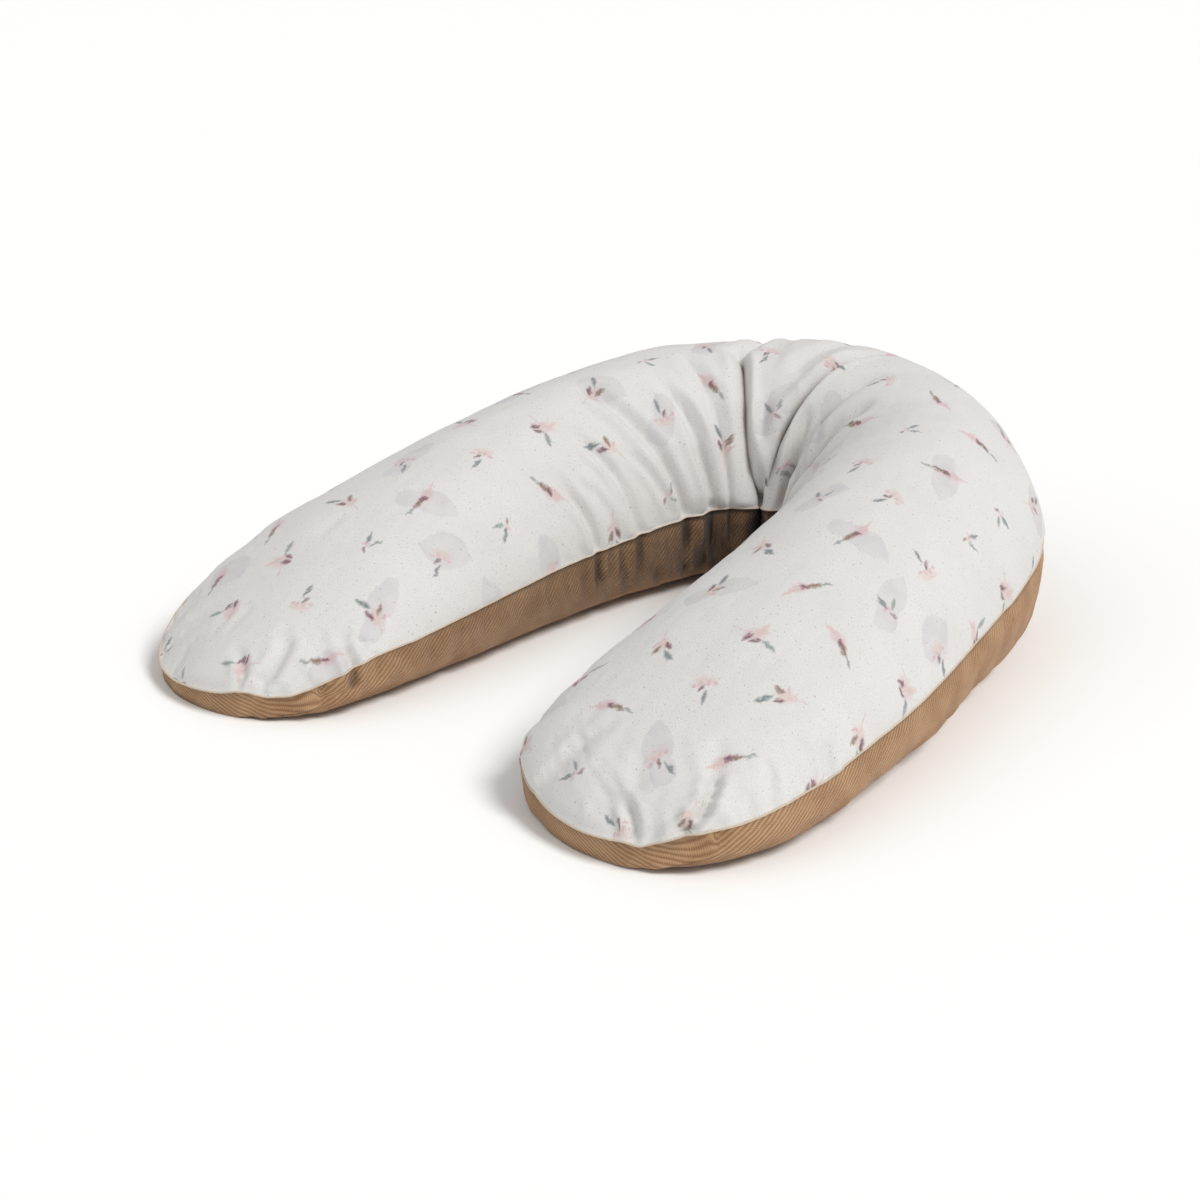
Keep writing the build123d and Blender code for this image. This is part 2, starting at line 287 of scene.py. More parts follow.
def grid_faces(grid):
    return np.stack([grid[:-1, :-1], grid[1:, :-1], grid[1:, 1:], grid[:-1, 1:]], -1).reshape(-1, 4)


def border(grid):
    """The border of a grid, in order, once round."""
    return np.concatenate([grid[:-1, -1], grid[-1, :0:-1], grid[:0:-1, 0], grid[0, :-1]])


def normals_of(co, faces):
    """Vertex normals of a quad mesh."""
    a, b, c, d = (co[faces[:, k]] for k in range(4))
    face = np.cross(c - a, d - b)
    normal = np.zeros_like(co)
    for k in range(4):
        np.add.at(normal, faces[:, k], face)
    return unit(normal)


# ---------------------------------------------------------------- folds, tucks and puckers

# The form of a fold across its path, in half-widths, and how far from it its left lip leans.
VALLEY_POWER = 1.25
LIP_PLACE = 1.9
LIP_WIDTH = 0.75
LEAN_REACH = 2.4
LEAN_EASE = 0.01
DEEPEST_PUSH = 0.034
SEAM_SHARE = 0.45

# Each fold: depth and half-width in mm, how far its lips swell, how far its left lip leans over it in mm, and
# its path as (q, degrees round the section). A fold of negative depth is a bulge.
FOLDS = (
    (27, 7, 0.18, 12, ((-0.168, 80), (-0.157, 104), (-0.156, 126), (-0.15, 146), (-0.135, 164), (-0.118, 180),
                       (-0.114, 205))),
    (15, 6, 0.32, 8, ((0.04, 76), (0.016, 98), (-0.018, 126), (-0.052, 148), (-0.084, 166), (-0.1, 182),
                      (-0.102, 202))),
    (13, 11, 0.25, 5, ((0.10, 90), (0.076, 112), (0.044, 134), (0.012, 154), (-0.02, 174), (-0.03, 215))),
    (8, 8, 0.5, 2, ((0.17, 112), (0.14, 134), (0.10, 156), (0.07, 180))),
    (5, 7, 0.5, 0, ((0.25, 132), (0.20, 152), (0.15, 170), (0.13, 184))),
    (4, 6, 0.5, 0, ((0.30, 146), (0.25, 162), (0.20, 176), (0.19, 186))),
    (7, 8, 0.4, 2, ((-0.245, 88), (-0.225, 120), (-0.205, 152), (-0.19, 184))),
    (6, 6, 0.6, 0, ((-0.31, 106), (-0.285, 134), (-0.262, 160), (-0.25, 184))),
    (6.5, 7, 0.6, 1, ((-0.41, 88), (-0.385, 118), (-0.345, 152), (-0.325, 184))),
    (5, 5, 0.6, 0, ((-0.465, 116), (-0.435, 146), (-0.41, 184))),
    (4, 5, 0.6, 0, ((-0.52, 138), (-0.50, 160), (-0.49, 184))),
    (9, 5, 0.5, 2, ((0.90, 50), (0.925, 38), (0.95, 23), (0.966, 4))),
    (7, 4.5, 0.5, 0, ((0.972, 70), (0.982, 46), (0.99, 16))),
    (4, 9, 0.3, 0, ((0.92, 122), (0.96, 102), (0.982, 72))),
    (5.5, 6, 0.5, 0, ((-0.925, 120), (-0.958, 133), (-0.982, 150))),
    (5, 4.5, 0.5, 0, ((-0.965, 104), (-0.982, 126), (-0.993, 150))),
    (5, 4.5, 0.5, 0, ((-0.90, 146), (-0.905, 162), (-0.905, 182))),
    (4, 6, 0.5, 0, ((0.795, 26), (0.805, 12), (0.81, 2))),
    (8, 9, 0.4, 4, ((-0.11, 50), (-0.13, 74), (-0.15, 98))),
    (4, 9, 0.3, 0, ((-0.02, 66), (-0.03, 92), (-0.06, 116))),
    (-17, 52, 0, 0, ((0.08, 160), (0.15, 170), (0.24, 176), (0.36, 178))),
    (-8, 38, 0, 0, ((-0.20, 120), (-0.21, 150), (-0.22, 180))),
    (-5, 60, 0, 0, ((0.20, 4), (0.40, 4))),
    (4, 50, 0, 0, ((-0.24, 84), (-0.16, 82), (-0.08, 82))),
    (5, 60, 0, 0, ((-0.78, 54), (-0.86, 54), (-0.93, 52))),
    (-5, 70, 0, 0, ((0.90, 176), (0.95, 170), (0.98, 150))),
)

TUCK_LIPS = 0.45

# Where small random tucks start at a seam: the seam in degrees, q from and to, their number, depth and
# half-width in mm, length in degrees, and how far they lean in q.
TUCK_ZONES = (
    (180, -0.50, -0.12, 17, 2.4, 3.8, 50, -0.035),
    (180, -0.12, 0.14, 9, 4.0, 4.2, 44, 0.01),
    (180, 0.14, 0.34, 8, 2.4, 4.5, 34, 0.03),
    (180, -0.95, -0.50, 14, 1.1, 4.2, 24, -0.01),
    (180, 0.34, 0.95, 16, 1.0, 4.2, 22, 0.01),
    (0, 0.50, 0.93, 13, 1.3, 4.2, 24, 0.0),
    (0, -0.30, 0.50, 16, 1.2, 4.6, 24, 0.0),
    (0, -0.95, -0.76, 6, 1.3, 4.2, 24, 0.0),
    (0, 0.93, 0.996, 6, 2.2, 4.5, 36, -0.01),
    (180, -0.996, -0.93, 6, 2.0, 4.5, 36, 0.01),
)

# Where the seam itself rises or falls: q, degrees, rise and half-width in mm.
SEAM_KINKS = (
    (-0.877, 180, 4.0, 30), (-0.965, 176, -4.5, 28), (-0.991, 158, 3.5, 16),
    (0.807, 0, -2.5, 16), (0.955, 2, 3.5, 26), (0.985, 20, -3.5, 14),
    (0.03, 180, -14, 62), (-0.13, 180, -2, 40), (-0.96, 14, -15, 66),
)


def distance_to_path(points, path):
    """The distance from points to a path, and how far along the path its nearest place is, from 0 to 1."""
    start, end = path[:-1], path[1:]
    along = end - start
    length = np.linalg.norm(along, axis=1)
    before = running(length)
    best = np.full(len(points), 1e9)
    place = np.zeros(len(points))
    for k in range(len(along)):
        t = np.clip(((points - start[k]) @ along[k]) / max(length[k] ** 2, 1e-12), 0, 1)
        distance = np.linalg.norm(points - start[k] - t[:, None] * along[k], axis=1)
        nearer = distance < best
        best = np.where(nearer, distance, best)
        place = np.where(nearer, (before[k] + t * length[k]) / before[-1], place)
    return best, place


def fold_path(places, steps=8):
    """A smooth line on the skin through a fold's places."""
    places = np.array(places, float)
    t = np.arange(len(places))
    fine = np.linspace(0, len(places) - 1, (len(places) - 1) * steps + 1)
    q = np.interp(fine, t, places[:, 0])
    degrees = np.interp(fine, t, places[:, 1])
    kernel = np.ones(5) / 5
    for values in (q, degrees):
        values[2:-2] = np.convolve(values, kernel, "valid")
    return fold_point(q, degrees)


def fold_depth(points, fold):
    """How far one fold presses the skin in, in metres: a valley, with a low swelling on both lips."""
    depth, width, lips, _, places = fold
    distance, place = distance_to_path(points, fold_path(places))
    reach = distance / (width / 1000)
    lip = np.exp(-((reach - LIP_PLACE) / LIP_WIDTH) ** 2)
    valley = np.exp(-np.abs(reach) ** VALLEY_POWER) - lips * lip
    return depth / 1000 * valley * smooth(place / 0.25 + 0.05) * fading_end(place)


def fading_end(place):
    return smooth((1 - place) / 0.12 + 0.25)


def fold_lean(cover, fold):
    """How far the cloth left of a fold leans over it along the pillow, in metres."""
    _, width, _, lean, places = fold
    distance, place = distance_to_path(cover.co, fold_path(places))
    path_q = np.interp(place, np.linspace(0, 1, len(places)), [q for q, _ in places])
    left = smooth((path_q - cover.q) * SPINE_HALF / LEAN_EASE + 0.5)
    reach = distance / (LEAN_REACH * width / 1000)
    return lean / 1000 * left * np.exp(-reach**2) * smooth(place / 0.3) * fading_end(place)


def random_tucks():
    rng = np.random.default_rng(23)
    for seam, low, high, count, depth, width, length, lean in TUCK_ZONES:
        inward = -1 if seam == 180 else 1
        for number in range(count):
            q = low + (high - low) * (number + rng.uniform(0.15, 0.85)) / count
            reach = length * rng.uniform(0.5, 1.3)
            turn = lean * rng.uniform(0.4, 1.6) + rng.normal(0, 0.008)
            size = rng.uniform(0.45, 1.35)
            over = ((q + turn, seam + inward * reach),
                    (q + turn * 0.4, seam + inward * reach * 0.5), (q, seam))
            yield depth * size, width * rng.uniform(0.8, 1.6), TUCK_LIPS, 0, over
            under = ((q - turn * 0.8, seam - inward * 24), (q - turn * 0.3, seam - inward * 9), (q, seam))
            share = 1.1 if seam == 180 else 0.45
            yield depth * size * share, width * rng.uniform(0.9, 1.7), TUCK_LIPS, 0, under


# Soft lumps of the filling: how many waves, their height together, and their shortest and longest wavelength.
BROAD_LUMPS = (10, 0.0011, 0.11, 0.24)
SMALL_LUMPS = (16, 0.00045, 0.03, 0.07)
TUFTS = (12, 0.0006, 0.012, 0.03)
NEAR_FLOOR = 0.004


def lumps(co, rng, count, amplitude, low, high):
    """Soft lumps of the filling: a sum of plane waves in random directions."""
    total = np.zeros(len(co))
    for _ in range(count):
        direction = unit(rng.normal(size=3))
        wave = 2 * math.pi / rng.uniform(low, high)
        total += np.sin(co @ direction * wave + rng.uniform(0, 2 * math.pi))
    return total * amplitude / math.sqrt(count)


class ZipLine:
    """The zip's arc along the left arm's outer seam."""

    def __init__(self):
        q = np.array([ZIP_START, (ZIP_START + ZIP_END) / 2, ZIP_END])
        start, middle, end = fold_point(-q, np.array([0.0, 0.0, 0.0]))
        a, b = middle - start, end - start
        normal = np.cross(a, b)
        toward = np.cross(normal, a) * (b @ b) + np.cross(b, normal) * (a @ a)
        toward /= 2 * normal @ normal
        self.centre = start + toward
        self.radius = np.linalg.norm(toward)
        self.x = (start - self.centre) / self.radius
        self.up = unit(normal)
        self.y = np.cross(self.up, self.x)
        chord = end - self.centre
        self.length = self.radius * math.atan2(chord @ self.y, chord @ self.x)

    def point(self, along, depth, height):
        angle = np.asarray(along) / self.radius
        out = np.cos(angle)[..., None] * self.x + np.sin(angle)[..., None] * self.y
        away = out * (self.radius + np.asarray(depth))[..., None]
        return self.centre + away + np.asarray(height)[..., None] * self.up

    def out(self, along):
        angle = along / self.radius
        return math.cos(angle) * self.x + math.sin(angle) * self.y

    def places(self, points):
        """How far along the zip, out of it and above it points are."""
        away = points - self.centre
        x, y = away @ self.x, away @ self.y
        return np.arctan2(y, x) * self.radius, np.hypot(x, y) - self.radius, away @ self.up

    def window(self, points, margin):
        """1 within the zip's opening, fading to 0 over a margin past its ends."""
        along, _, _ = self.places(points)
        before = (along + ZIP_ROOM) / margin
        after = (self.length + ZIP_ROOM - along) / margin
        return smooth(np.minimum(before, after) + 0.5)


ZIP = ZipLine()


def calm_near_zip(points):
    """0 on the cloth round the zip, which the tapes keep flat, and 1 away from it."""
    along, out, height = ZIP.places(points)
    past = np.maximum(np.maximum(-ZIP_ROOM - along, along - ZIP.length - ZIP_ROOM), 0)
    near = np.sqrt(past**2 + height**2 + np.maximum(np.abs(out) - CALM_DEPTH, 0) ** 2)
    return smooth((near - CALM_REACH) / CALM_EASE)


def gap_under_cover(points, gap):
    """How deep a layer lies under the cover: deeper behind the zip, where the slider needs room."""
    return (gap + ZIP_GAP * (1 - calm_near_zip(points)))[..., None]


def sculpted(cover):
    """The cover's points with its folds, tucks, lumps and kinks, and its left tip drawn out and sloped."""
    normal = normals_of(cover.co, cover.faces)
    push = np.zeros(len(cover.co))
    for fold in FOLDS + tuple(random_tucks()):
        push += fold_depth(cover.co, fold)
    rng = np.random.default_rng(5)
    swelling = lumps(cover.co, rng, *BROAD_LUMPS) + lumps(cover.co, rng, *SMALL_LUMPS)
    on_floor = (~cover.is_top) & (cover.co[:, 2] < NEAR_FLOOR)
    swelling[on_floor] = 0
    push = DEEPEST_PUSH * np.tanh(push / DEEPEST_PUSH) - swelling
    seam_share = np.where(cover.is_seam, SEAM_SHARE, 1.0)
    co = cover.co - normal * (push * seam_share * calm_near_zip(cover.co))[:, None]
    _, out = spine(cover.q * SPINE_HALF)
    along = np.stack([out[:, 1], -out[:, 0], np.zeros(len(out))], -1)
    for fold in FOLDS:
        co += along * fold_lean(cover, fold)[:, None]
    for q, degrees, rise, width in SEAM_KINKS:
        centre = fold_point(np.array([q]), np.array([float(degrees)]))[0]
        near = np.exp(-(((cover.co - centre) ** 2).sum(1)) / (width / 1000) ** 2)
        co[:, 2] += rise / 1000 * near
    at_tip = smooth((-cover.q - TIP_START) / (1 - TIP_START))
    outer_side = (cover.u + 1) / 2
    co += along * (np.sign(cover.q) * TIP_STRETCH * at_tip)[:, None]
    co[:, :2] -= out * (TIP_NARROW * at_tip * outer_side)[:, None]
    above_seam = np.where(cover.is_top, cover.co[:, 2] - seam_line(np.abs(cover.q), cover.u), 0)
    co[:, 2] -= TIP_SLOPE * at_tip * outer_side * above_seam
    co[:, 2] = np.maximum(co[:, 2], FLOOR_CLEARANCE)
    return co


def weight_group(obj, name, weights, levels=20):
    """A vertex group of the weights, rounded to a few levels."""
    group = obj.vertex_groups.new(name=name)
    steps = np.round(weights * levels).astype(int)
    for step in np.unique(steps):
        group.add(np.nonzero(steps == step)[0].tolist(), step / levels, "REPLACE")


def simulated(cover, start):
    """The cover blown up inside its seams, with spare cloth: its wrinkles, not its swelling, are kept."""
    obj = mesh_object("cloth", start, cover.faces.tolist())
    on_floor = (~cover.is_top) & (start[:, 2] < NEAR_FLOOR)
    hold = np.where(cover.is_seam, HOLD_SEAM, HOLD_FREE)
    hold = np.where(on_floor, HOLD_FLOOR, hold)
    hold = np.maximum(hold, 1 - calm_near_zip(start))
    weight_group(obj, "hold", hold)
    in_bend = np.exp(-((cover.q / LOOSE_BEND_REACH) ** 2)) * (1 - cover.u) / 2
    near_seam = smooth((np.abs(cover.u) - 0.8) / 0.15)
    loose = LOOSE_ANYWHERE + LOOSE_IN_BEND * in_bend + LOOSE_AT_SEAM * near_seam
    weight_group(obj, "loose", np.clip(loose, 0, 1))
    modifier = obj.modifiers.new("cloth", "CLOTH")
    for key, value in CLOTH.items():
        setattr(modifier.settings, key, value)
    modifier.settings.effector_weights.gravity = 0
    modifier.collision_settings.use_collision = False
    modifier.point_cache.frame_start = 1
    modifier.point_cache.frame_end = SIM_FRAMES
    for number in range(1, SIM_FRAMES + 1):
        bpy.context.scene.frame_set(number)
    moved = obj.evaluated_get(bpy.context.evaluated_depsgraph_get()).data
    co = np.empty(len(start) * 3)
    moved.vertices.foreach_get("co", co)
    bpy.data.objects.remove(obj, do_unlink=True)
    bpy.context.scene.frame_set(1)
    shift = co.reshape(-1, 3) - start
    shift = WRINKLE_GAIN * (shift - SWELL_REMOVED * spread_out(shift, cover.faces, SPREAD_ROUNDS))
    size = np.linalg.norm(shift, axis=1)
    shift *= (SIM_CAP * np.tanh(size / SIM_CAP) / np.maximum(size, 1e-9))[:, None]
    return start + shift * calm_near_zip(start)[:, None]


def spread_out(values, faces, rounds):
    """The broad trend of values at the vertices: they are averaged with their neighbours over and over."""
    count = np.bincount(faces.ravel(), minlength=len(values)).astype(float)
    order = np.argsort(faces.ravel(), kind="stable")
    starts = running(count)[:-1].astype(int)
    for _ in range(rounds):
        middle = values[faces].mean(1)
        values = np.add.reduceat(np.repeat(middle, 4, axis=0)[order], starts, axis=0) / count[:, None]
    return values


# ---------------------------------------------------------------- meshes and pieces

def mesh_object(name, co, faces, material=None, flat=False):
    mesh = bpy.data.meshes.new(name)
    mesh.from_pydata(np.asarray(co).tolist(), [], [tuple(face) for face in faces])
    mesh.update()
    mesh.polygons.foreach_set("use_smooth", [not flat] * len(mesh.polygons))
    obj = bpy.data.objects.new(name, mesh)
    bpy.context.scene.collection.objects.link(obj)
    if material:
        mesh.materials.append(material)
    return obj


def refine(grid):
    """The same grid of points with a smooth new point between every two, along both directions."""
    for _ in range(2):
        before = np.concatenate([2 * grid[:1] - grid[1:2], grid[:-2]])
        after = np.concatenate([grid[2:], 2 * grid[-1:] - grid[-2:-1]])
        middle = (9 * (grid[:-1] + grid[1:]) - before - after) / 16
        doubled = np.empty((len(grid) * 2 - 1,) + grid.shape[1:])
        doubled[::2] = grid
        doubled[1::2] = middle
        grid = doubled.swapaxes(0, 1)
    return grid


def shell(name, outer, inner, flip, material):
    """A closed sheet with real thickness between an outer and an inner grid of points."""
    rows, columns = outer.shape[:2]
    top = np.arange(rows * columns).reshape(rows, columns)
    low = top + rows * columns
    edge, under = border(top), border(low)
    rim = np.stack([np.roll(edge, -1), edge, under, np.roll(under, -1)], -1)
    faces = np.concatenate([grid_faces(top), grid_faces(low)[:, ::-1], rim])
    if flip:
        faces = faces[:, ::-1]
    co = np.concatenate([outer.reshape(-1, 3), inner.reshape(-1, 3)])
    return mesh_object(name, co, faces.tolist(), material)


def lay_cloth(obj, grid, q, along_arms=False):
    """A sheet's outer and inner grid get their places in the flat cloth, and its placement is baked into its
    mesh.
    """
    layer = obj.data.uv_layers.new(name="Cloth")
    loops = np.empty(len(obj.data.loops), int)
    obj.data.loops.foreach_get("vertex_index", loops)
    cloth = cloth_places(grid, q, along_arms).reshape(-1, 2)
    layer.data.foreach_set("uv", np.concatenate([cloth, cloth])[loops].ravel())
    flex(obj, np.concatenate([q.ravel(), q.ravel()]) * SPINE_HALF)


def cloth_places(grid, q, along_arms=False):
    """Where each grid point lies in the flat cloth: on the cut crescent, or as lengths along and across."""
    step = np.linalg.norm(np.diff(grid, axis=1), axis=-1)
    across = running(step, 1)
    across = across - across[:, across.shape[1] // 2][:, None]
    s = q * SPINE_HALF
    length = np.linalg.norm(np.diff(grid, axis=0), axis=-1)
    extra = np.maximum(length - np.abs(np.diff(s, axis=0)), 0) * smooth((np.abs(q[1:]) - 0.82) / 0.1)
    extra = running(extra)
    s = s + extra - extra[len(extra) // 2]
    if along_arms:
        return np.stack([s, across], -1)
    point, out = spine(s, CUT_RADIUS)
    return point + out * across[..., None]


def ring_index(rows, columns):
    """Vertex numbers of rows of points, each row a closed ring that comes back to its first point."""
    index = np.arange(rows * columns).reshape(rows, columns)
    return np.concatenate([index, index[:, :1]], 1)


def end_caps(index):
    return [index[0, :-1].tolist(), index[-1, -2::-1].tolist()]


def tube(points, ups, across, along_up, sides=8, closed=False):
    """A tube of elliptical section along points; ups are the directions of its second radius."""
    points, ups = np.asarray(points), np.asarray(ups)
    if closed:
        tangent = np.roll(points, -1, 0) - np.roll(points, 1, 0)
    else:
        tangent = np.gradient(points, axis=0)
    tangent = unit(tangent)
    side = unit(np.cross(tangent, ups))
    up = np.cross(side, tangent)
    angle = np.arange(sides) * 2 * math.pi / sides
    sideways = np.broadcast_to(across, len(points))[:, None] * np.cos(angle)
    upwards = np.broadcast_to(along_up, len(points))[:, None] * np.sin(angle)
    ring = side[:, None] * sideways[..., None] + up[:, None] * upwards[..., None]
    co = (points[:, None] + ring).reshape(-1, 3)
    index = ring_index(len(points), sides)
    if closed:
        return co, grid_faces(np.concatenate([index, index[:1]]))[:, ::-1].tolist()
    return co, grid_faces(index)[:, ::-1].tolist() + end_caps(index)


def joined(parts):
    co, faces, start = [], [], 0
    for points, quads in parts:
        co.append(points)
        faces += [[index + start for index in quad] for quad in quads]
        start += len(points)
    return np.concatenate(co), faces


def along_zip(profile, start, end, step=0.002):
    """A closed profile of (depth, height) carried along the zip."""
    stations = np.linspace(start, end, max(int((end - start) / step), 1) + 1)
    profile = np.array(profile)
    along = np.repeat(stations[:, None], len(profile), 1)
    co = ZIP.point(along, profile[None, :, 0] + 0 * along, profile[None, :, 1] + 0 * along)
    index = ring_index(*along.shape)
    return co.reshape(-1, 3), grid_faces(index).tolist() + end_caps(index)


def outward(co, faces):
    """The same faces, turned to look outwards if they looked inwards."""
    volume = 0.0
    for face in faces:
        a = co[face[0]]
        for k in range(1, len(face) - 1):
            volume += np.dot(a, np.cross(co[face[k]], co[face[k + 1]]))
    return faces if volume > 0 else [face[::-1] for face in faces]


def solid_object(name, part, material, flat=False):
    co, faces = part
    return mesh_object(name, co, outward(co, faces), material, flat)


def flex(obj, s):
    """The piece's placement is baked into its mesh."""
    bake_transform(obj)


# ---------------------------------------------------------------- shader nodes

class Shader:
    """A material's node tree, with short calls for what its patterns are made of."""

    def __init__(self, name):
        self.material = bpy.data.materials.new(name)
        self.material.use_nodes = True
        self.tree = self.material.node_tree
        self.tree.nodes.clear()
        self.surface = self.tree.nodes.new("ShaderNodeBsdfPrincipled")
        output = self.tree.nodes.new("ShaderNodeOutputMaterial")
        self.tree.links.new(self.surface.outputs[0], output.inputs["Surface"])

    def put(self, node, inputs):
        """Link sockets to a node's inputs, or set their values."""
        for place, value in inputs.items():
            if isinstance(value, bpy.types.NodeSocket):
                self.tree.links.new(value, node.inputs[place])
            elif value is not None:
                node.inputs[place].default_value = value

    def node(self, kind, inputs, output=0, **settings):
        """One node with its settings and inputs, as the socket of its output."""
        made = self.tree.nodes.new("ShaderNode" + kind)
        for key, value in settings.items():
            setattr(made, key, value)
        self.put(made, inputs)
        return made.outputs[output]

    def math(self, operation, a, b=None, c=None):
        return self.node("Math", {0: a, 1: b, 2: c}, operation=operation)

    def times(self, a, b):
        return self.math("MULTIPLY", a, b)

    def plus(self, a, b):
        return self.math("ADD", a, b)

    def minus(self, a, b):
        return self.math("SUBTRACT", a, b)

    def times_plus(self, a, b, c):
        return self.math("MULTIPLY_ADD", a, b, c)

    def vector(self, operation, a, b=None, scale=None):
        return self.node("VectorMath", {0: a, 1: b, "Scale": scale}, "Vector", operation=operation)

    def split(self, vector):
        return self.node("SeparateXYZ", {0: vector}).node.outputs

    def join(self, x, y, z=0.0):
        return self.node("CombineXYZ", {0: x, 1: y, 2: z})

    def mix(self, factor, a, b):
        return self.node("Mix", {0: factor, 6: a, 7: b}, 2, data_type="RGBA")

    def ramp(self, value, low, high, start=0.0, end=1.0):
        inputs = {0: value, 1: low, 2: high, 3: start, 4: end}
        return self.node("MapRange", inputs, interpolation_type="SMOOTHSTEP")

    def noise(self, vector, scale, detail=2.0, roughness=0.5):
        inputs = {"Vector": vector, "Scale": scale, "Detail": detail, "Roughness": roughness}
        return self.node("TexNoise", inputs)

    def random(self, vector):
        return self.node("TexWhiteNoise", {"Vector": vector}, "Color", noise_dimensions="3D")

    def wave(self, value, pitch):
        """A sine from 0 to 1 with the given pitch."""
        sine = self.math("SINE", self.times(value, 2 * math.pi / pitch))
        return self.times_plus(sine, 0.5, 0.5)

    def cloth(self):
        """Places in the flat cloth, in millimetres."""
        return self.vector("SCALE", self.node("UVMap", {}, uv_map="Cloth"), scale=1000.0)

    def solid(self):
        """Places in the object, in millimetres."""
        return self.vector("SCALE", self.node("TexCoord", {}, "Object"), scale=1000.0)

    def painted_shade(self, distance, closed, opened, own=False):
        """Painted shade from ambient occlusion, for darkening a colour in folds: 1 where the cloth lies open,
        0 deep in a fold.

        With own set, the floor and the other pieces are left out of it."""
        inputs = {"Distance": distance}
        shelter = self.node("AmbientOcclusion", inputs, "AO", samples=8, only_local=own)
        return self.ramp(shelter, closed, opened)

    def bump(self, height, distance, strength=1.0):
        return self.node("Bump", {"Height": height, "Distance": distance, "Strength": strength})

    def finish(self, color, roughness, normal=None, sheen=0.0, metallic=0.0):
        self.put(self.surface, {"Base Color": color, "Roughness": roughness, "Normal": normal,
                                "Sheen Weight": sheen, "Sheen Roughness": 0.4, "Metallic": metallic})
        return self.material


def rgb(red, green, blue):
    """A colour from its sRGB parts, 0 to 255."""
    def linear(part):
        part = part / 255
        return part / 12.92 if part <= 0.04045 else ((part + 0.055) / 1.055) ** 2.4
    return (linear(red), linear(green), linear(blue), 1.0)


PETAL = rgb(203, 166, 168)
PEACH = rgb(208, 180, 174)
MAUVE = rgb(118, 80, 90)
OCHRE = rgb(132, 106, 94)
SAGE = rgb(134, 145, 142)
SLATE = rgb(114, 124, 126)
BLOTCH = rgb(198, 194, 196)
SPECK = rgb(156, 144, 138)

# Each sprig is a handful of brush strokes: colour, strength, place, half-sizes and angle, in mm and degrees.
SPRIGS = (
    (
        (PETAL, 0.55, (-2, 1), (13, 8), 20), (PEACH, 0.7, (3, 7), (9, 3.2), 70),
        (MAUVE, 0.95, (-7, -3), (6.2, 3.2), 50), (MAUVE, 0.9, (-1, -6), (6.0, 2.8), 20),
        (SAGE, 0.95, (11, -8), (9.5, 3.0), -35), (PETAL, 0.6, (-15, 5), (8, 0.9), 160),
    ),
    (
        (PEACH, 0.65, (0, -2), (10, 7), 95), (PETAL, 0.8, (6, -3), (4, 2), 30),
        (MAUVE, 0.95, (-5.5, 1.5), (6.4, 2.9), 125), (OCHRE, 0.9, (3.5, 4), (6.6, 3.0), 65),
        (SLATE, 0.95, (-8.5, 13), (9.5, 3.1), 130), (PETAL, 0.6, (2, -15), (8, 0.8), 92),
    ),
    (
        (PETAL, 0.65, (-3, 4), (12, 6.5), 150), (OCHRE, 0.95, (5, -4), (8.5, 3.3), -50),
        (PEACH, 0.8, (-12, 9), (8, 1.6), 150), (SAGE, 0.85, (13, -12), (6.4, 1.9), -55),
        (MAUVE, 0.9, (0, 1), (5.4, 2.8), 100),
    ),
    (
        (PETAL, 0.75, (-8, 0), (3, 2.4), 0), (PETAL, 0.75, (-3, 2), (3, 2.6), 40),
        (PETAL, 0.75, (3, 2), (3, 2.6), 100), (PETAL, 0.75, (8, 1), (3, 2.4), 10),
        (PEACH, 0.5, (0, 5), (12, 5), 0), (SLATE, 0.9, (1, -12), (8.5, 2.4), 84),
        (MAUVE, 0.85, (-2, -3), (5.0, 2.4), 60),
    ),
    (
        (SLATE, 0.9, (-4, 4), (8.5, 2.6), 118), (SAGE, 0.9, (6, 3), (7.5, 2.2), 62),
        (PEACH, 0.6, (1, -5), (7, 1.1), 88), (PETAL, 0.5, (-2, -2), (5, 2.5), 20),
        (MAUVE, 0.7, (3, -7), (4.2, 1.9), 140),
    ),
)

# The print repeats in cells, brick-wise, and the ribs run at a slant over the cloth. Sizes are in mm.
CELL_WIDTH = 76.0
CELL_HEIGHT = 62.0
JITTER = 13.0
SEED_PLACE = 3.7
SEED_PICK = 9.1
SPRIG_SCALE = 1.08
STROKE_EDGE = 0.8
BLOTCH_EDGE = 0.12
LONG_BLOTCH_BELOW = 0.16
ROUND_BLOTCH_ABOVE = 0.9
RIB_PITCH = 4.4
RIB_SLANT = 0.8


def stroke(g, x, y, place, size, degrees, softness=STROKE_EDGE):
    """A brush stroke: 1 inside an oval with pointed ends, fading over its edge."""
    c, s = math.cos(math.radians(degrees)), math.sin(math.radians(degrees))
    dx = g.minus(x, place[0])
    dy = g.minus(y, place[1])
    along = g.times_plus(dx, c / size[0], g.times(dy, s / size[0]))
    over = g.math("ABSOLUTE", g.times_plus(dx, -s / size[1], g.times(dy, c / size[1])))
    return g.ramp(g.times_plus(along, along, over), 1.0 + softness * 0.3, 1.0 - softness)


